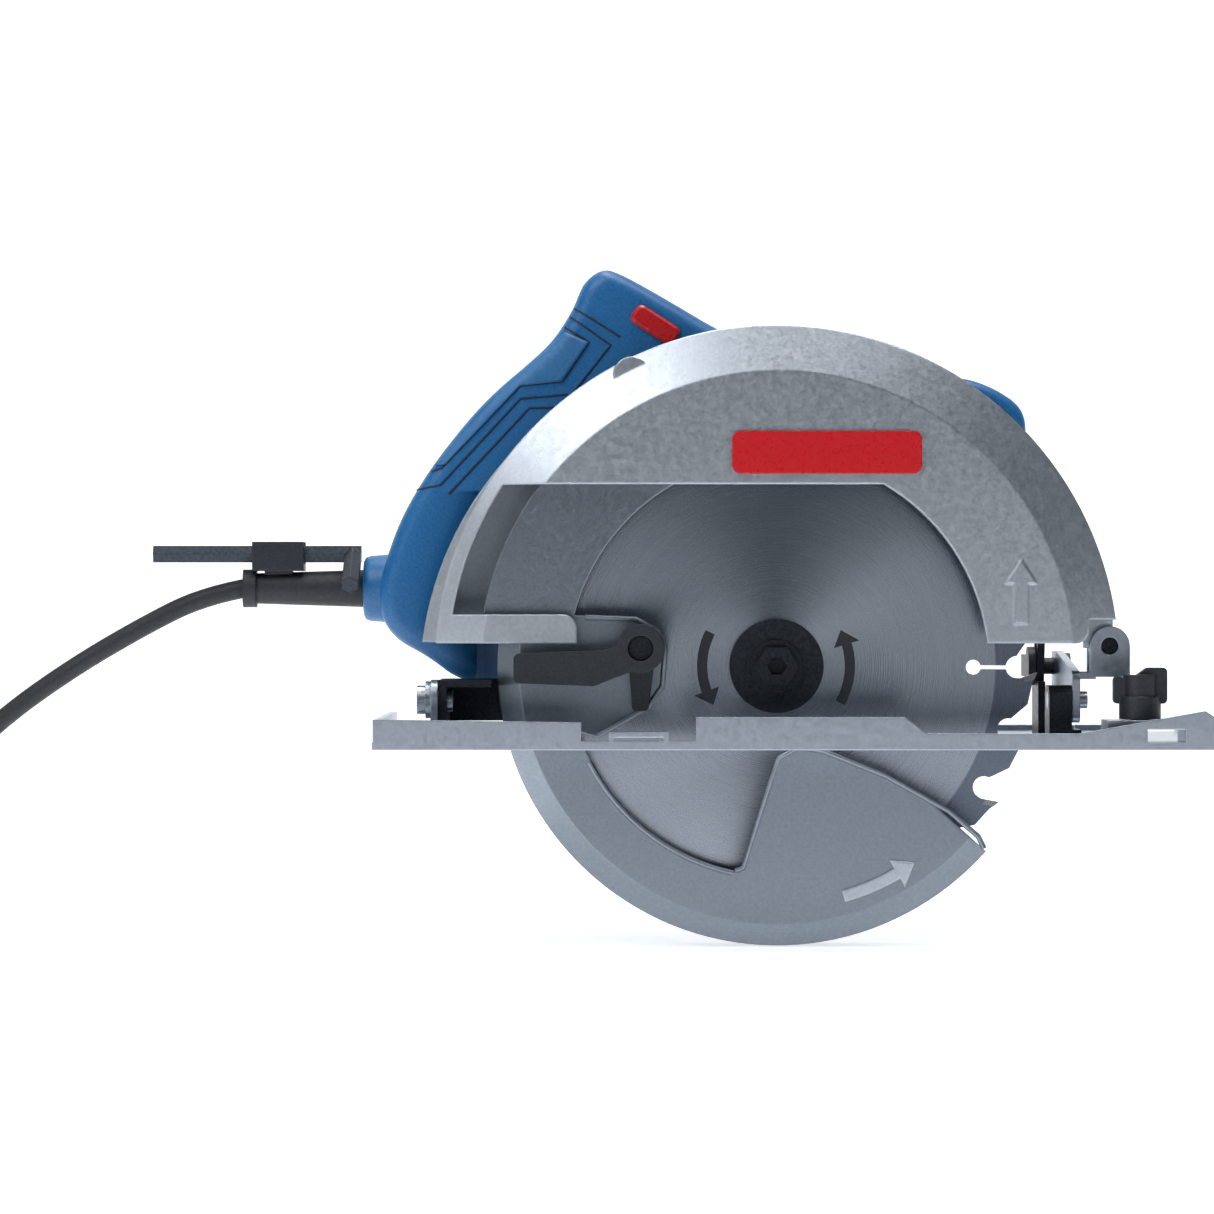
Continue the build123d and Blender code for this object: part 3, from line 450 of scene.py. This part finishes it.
def surface_line(target, points):
    """Points in x and z (millimetres) moved onto a piece's near face."""
    graph = bpy.context.evaluated_depsgraph_get()
    tree = BVHTree.FromObject(target, graph)
    found = []
    for (x0, z0), (x1, z1) in zip(points, points[1:]):
        steps = max(2, int(sqrt((x1 - x0) ** 2 + (z1 - z0) ** 2) / 1.5))
        for i in range(steps + 1):
            x, z = x0 + (x1 - x0) * i / steps, z0 + (z1 - z0) * i / steps
            hit = near_face(tree, x, z)
            if hit:
                found.append(hit)
    return found


def thin_line(name, points, radius, body, material):
    """A fine tube along points that already lie on a surface."""
    curve = bpy.data.curves.new(name, "CURVE")
    curve.dimensions = "3D"
    curve.bevel_depth = radius
    curve.bevel_resolution = 2
    spline = curve.splines.new("POLY")
    spline.points.add(len(points) - 1)
    for point, place in zip(spline.points, points):
        point.co = (*place, 1)
    holder = bpy.data.objects.new(name, curve)
    mesh = bpy.data.meshes.new_from_object(holder)
    bpy.data.objects.remove(holder)
    return piece(name, mesh, body, material)


GROOVES = [
    [(-74.5, 149), (-66, 143.5), (-75.5, 129.5), (-90.5, 128), (-118.6, 98.5), (-124, 96.7)],
    [(-72.5, 152.6), (-58.2, 142.5), (-72, 125), (-90.5, 123.3), (-119, 92.5), (-127.5, 90.8)],
    [(-71, 155.6), (-54.8, 145.5)],
    [(-74.5, 120.3), (-87.3, 120), (-116, 89.3)],
]


def grip_grooves(target):
    """Nested grooves in the near face of the grip, drawn as fine dark lines of painted shade."""
    for index, points in enumerate(GROOVES):
        line = surface_line(target, points)
        if len(line) > 2:
            thin_line(f"grip_groove_{index}", line, GROOVE_R, "head", GROOVE_SHADE)


def soft_face(target):
    """Textured strip along the back of the grip, its lighter blue a painted highlight where light falls on
    it.
    """
    outer = [(-74.5, 147), (-80, 142), (-89, 133.5), (-99, 124), (-112, 109.5), (-122, 98)]
    inner = [(-66, 143.5), (-75.5, 129.5), (-90.5, 128), (-98, 120.1), (-108, 109.6), (-118.6, 98.5)]
    graph = bpy.context.evaluated_depsgraph_get()
    tree = BVHTree.FromObject(target, graph)
    work = bmesh.new()
    rows = []
    for (xa, za), (xb, zb), (xc, zc), (xd, zd) in zip(outer, outer[1:], inner, inner[1:]):
        for i in range(8):
            row = []
            for j in range(9):
                u, v = i / 8, j / 8
                x = (xa + (xb - xa) * u) * (1 - v) + (xc + (xd - xc) * u) * v
                z = (za + (zb - za) * u) * (1 - v) + (zc + (zd - zc) * u) * v
                place = near_face(tree, x, z) or Vector((x / 1000, GRIP_Y, z / 1000))
                row.append(work.verts.new((place.x, place.y - 0.0003, place.z)))
            rows.append(row)
    for first, second in zip(rows, rows[1:]):
        for j in range(8):
            work.faces.new((first[j], first[j + 1], second[j + 1], second[j]))
    mesh = bpy.data.meshes.new("grip_soft_face")
    work.to_mesh(mesh)
    work.free()
    for polygon in mesh.polygons:
        polygon.use_smooth = True
    obj = piece("grip_soft_face", mesh, "head", HIGHLIGHT_BLUE)
    thick = obj.modifiers.new("thick", "SOLIDIFY")
    thick.thickness = 0.0006
    return obj


def arc_arrow(name, radius, width, start, end, y, body, material, head, thickness=0.0001):
    """A flat curved arrow about the blade's axis, with its head at the end angle."""
    work = bmesh.new()
    inner, outer = [], []
    steps = 24
    for i in range(steps + 1):
        angle = radians(start + (end - start) * i / steps)
        for ring, reach in ((inner, radius - width / 2), (outer, radius + width / 2)):
            ring.append(work.verts.new((reach * cos(angle), y, ARBOR_Z + reach * sin(angle))))
    for i in range(steps):
        work.faces.new((inner[i], inner[i + 1], outer[i + 1], outer[i]))
    step = head if end > start else -head
    tip = radians(end + step)
    base = radians(end)
    corners = []
    for reach in (radius - width * 1.3, radius + width * 1.3):
        corners.append(work.verts.new((reach * cos(base), y, ARBOR_Z + reach * sin(base))))
    corners.append(work.verts.new((radius * cos(tip), y, ARBOR_Z + radius * sin(tip))))
    work.faces.new(corners)
    mesh = bpy.data.meshes.new(name)
    work.to_mesh(mesh)
    work.free()
    obj = piece(name, mesh, body, material)
    thick = obj.modifiers.new("thick", "SOLIDIFY")
    thick.thickness = thickness
    thick.offset = 0
    return obj


def guard_marks():
    """Raised lips on the swinging guard, and its arrow."""
    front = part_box("lower_guard")[0][1]
    # The lips take the darker cast aluminium, whose darkness is painted shade.
    painted_shade_metal = FINISHES["cast_guard_dark"]
    fin = [
        (-14.8, -71.4), (-12, -70.4), (-2.3, -39.4), (0.35, -32), (7.4, -28.2),
        (16.2, -29.6), (37.7, -38.2), (59.9, -50.6), (70.1, -59.4), (72.2, -63.6),
    ]
    neck = [(-67, 17.2), (-49.5, 16.5), (-41.6, 12.4), (-39.2, 6), (-40.2, -7), (-45.2, -14), (-62.7, -24.2)]
    for name, loop in (("fin_lip", fin), ("neck_lip", neck)):
        points = [Vector((x / 1000, front, ARBOR_Z + z / 1000)) for x, z in loop]
        thin_line(name, points, LIP_R, "guard_body", painted_shade_metal)
    points = []
    for i in range(25):
        angle = radians(207 + (258 - 207) * i / 24)
        points.append(Vector((WINDOW_LIP_R * cos(angle), front, ARBOR_Z + WINDOW_LIP_R * sin(angle))))
    thin_line("window_lip", points, LIP_R, "guard_body", painted_shade_metal)
    arc_arrow("guard_arrow", GUARD_ARROW_R, 0.0042, -74, -60, front - 0.0004, "guard_body",
              FINISHES["cast_guard"], 5, 0.0008)


def key_marks():
    """Arrows printed on the blade round the flange."""
    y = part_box("blade")[0][1] - 0.00007
    for name, start, end in (("blade_arrow_left", 153, 200), ("blade_arrow_right", -30, 17)):
        arc_arrow(name, BLADE_ARROW_R, 0.0036, start, end, y, "spindle_body", PRINT, 12)


CORD_POINTS = [
    (-0.1908, 0.017, 0.0556),
    (-0.206, 0.017, 0.0526),
    (-0.227, 0.017, 0.0420),
    (-0.252, 0.017, 0.0274),
    (-0.278, 0.017, 0.0090),
    (-0.302, 0.017, -0.0140),
    (-0.324, 0.017, -0.0380),
    (-0.348, 0.017, -0.0570),
    (-0.368, 0.017, -0.0647),
    (-0.3875, 0.017, -0.0662),
]


def cord():
    """Mains cord from the sleeve to its neat coil and plug, as one line."""
    low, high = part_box("cord_coil")
    centre_x, centre_y = (low[0] + high[0]) / 2, (low[1] + high[1]) / 2
    middle = (high[0] - low[0]) / 2 - 0.0105
    floor = low[2] + CORD_D / 2
    points = list(CORD_POINTS)
    for i in range(1, int(COIL_TURNS * STEPS_PER_TURN) + 1):
        lane = i / STEPS_PER_TURN
        a = min(int(lane), len(COIL_LANES) - 2)
        b = a + 1
        blend = min(1.0, max(0.0, (lane - a - 0.6) / 0.4))
        across = COIL_LANES[a][0] * (1 - blend) + COIL_LANES[b][0] * blend
        up = COIL_LANES[a][1] * (1 - blend) + COIL_LANES[b][1] * blend
        reach = middle - across * CORD_SPACING
        angle = -pi / 2 - 2 * pi * i / STEPS_PER_TURN
        x, y = centre_x + reach * cos(angle), centre_y + reach * sin(angle)
        points.append((x, y, floor + up * CORD_SPACING))
    plug_low, plug_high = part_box("plug")
    plug_y, plug_z = (plug_low[1] + plug_high[1]) / 2, plug_low[2] + 0.007
    points.append((centre_x + 0.018, plug_y, floor + 0.011))
    points.append((plug_low[0] + 0.006, plug_y, plug_z + 0.001))
    points.append((plug_low[0] + 0.020, plug_y, plug_z))
    curve = bpy.data.curves.new("mains_cord", "CURVE")
    curve.dimensions = "3D"
    curve.bevel_depth = CORD_D / 2
    curve.bevel_resolution = 5
    spline = curve.splines.new("NURBS")
    spline.points.add(len(points) - 1)
    for point, place in zip(spline.points, points):
        point.co = (*place, 1)
    spline.order_u = 3
    spline.use_endpoint_u = True
    spline.resolution_u = 6
    rubber = FINISHES["black_rubber"]
    obj = piece("mains_cord", curve, "head", rubber, ("cord_run", "cord_coil"))
    return obj


def area_light(name, place, target, size, power):
    """A soft lamp aimed at a point."""
    lamp = bpy.data.lights.new(name, "AREA")
    lamp.shape = "RECTANGLE"
    lamp.size, lamp.size_y = size
    lamp.energy = power
    obj = bpy.data.objects.new(name, lamp)
    obj.location = place
    obj.rotation_euler = (Vector(target) - Vector(place)).to_track_quat("-Z", "Y").to_euler()
    bpy.context.scene.collection.objects.link(obj)


def backdrop():
    """White paper that lies on the floor and curves up behind the saw."""
    work = bmesh.new()
    profile = [(PAPER_FRONT, 0.0), (PAPER_BACK, 0.0)]
    for i in range(1, 13):
        angle = radians(90 * i / 12)
        profile.append((PAPER_BACK + PAPER_SWEEP_R * sin(angle), PAPER_SWEEP_R - PAPER_SWEEP_R * cos(angle)))
    profile.append((PAPER_BACK + PAPER_SWEEP_R, PAPER_TOP))
    rows = []
    for y, z in profile:
        ends = (-PAPER_HALF_WIDTH, PAPER_HALF_WIDTH)
        rows.append([work.verts.new((x, y, FLOOR_Z - 0.0002 + z)) for x in ends])
    for first, second in zip(rows, rows[1:]):
        work.faces.new((first[0], first[1], second[1], second[0]))
    mesh = bpy.data.meshes.new("backdrop")
    work.to_mesh(mesh)
    work.free()
    for polygon in mesh.polygons:
        polygon.use_smooth = True
    obj = bpy.data.objects.new("backdrop", mesh)
    bpy.context.scene.collection.objects.link(obj)
    glow = FLOOR.node_tree.nodes["Principled BSDF"]
    glow.inputs["Emission Color"].default_value = (1, 1, 1, 1)
    glow.inputs["Emission Strength"].default_value = 0.60
    dress(obj, FLOOR)


def studio():
    """Backdrop, faint bluish surroundings and three soft lamps."""
    backdrop()
    world = bpy.data.worlds.new("studio")
    world.use_nodes = True
    surroundings = world.node_tree.nodes["Background"]
    surroundings.inputs["Color"].default_value = (0.80, 0.90, 1.0, 1)
    surroundings.inputs["Strength"].default_value = 0.10
    bpy.context.scene.world = world
    bpy.context.scene.view_settings.view_transform = "Standard"
    aim = (-0.02, 0.0, 0.05)
    area_light("key_lamp", (-0.75, -0.8, 1.15), aim, (0.9, 0.7), 9)
    area_light("front_lamp", (-1.3, -1.5, 0.15), aim, (0.5, 1.0), 2.5)
    area_light("top_lamp", (0.1, 0.1, 1.6), aim, (1.4, 0.7), 24)


def camera():
    """Long lens, level with the saw, square to the blade."""
    lens = bpy.data.cameras.new("camera")
    lens.lens = 135
    lens.sensor_width = 36
    obj = bpy.data.objects.new("camera", lens)
    obj.location = (CAMERA_X, BLADE_Y - CAMERA_AWAY, CAMERA_Z)
    obj.rotation_euler = (radians(90), 0, 0)
    bpy.context.scene.collection.objects.link(obj)
    bpy.context.scene.camera = obj


camera()
dress_cad_nodes()
cord()
shaped_grip = grip()
grip_collar()
grip_grooves(shaped_grip)
soft_face(shaped_grip)
guard_marks()
key_marks()
studio()
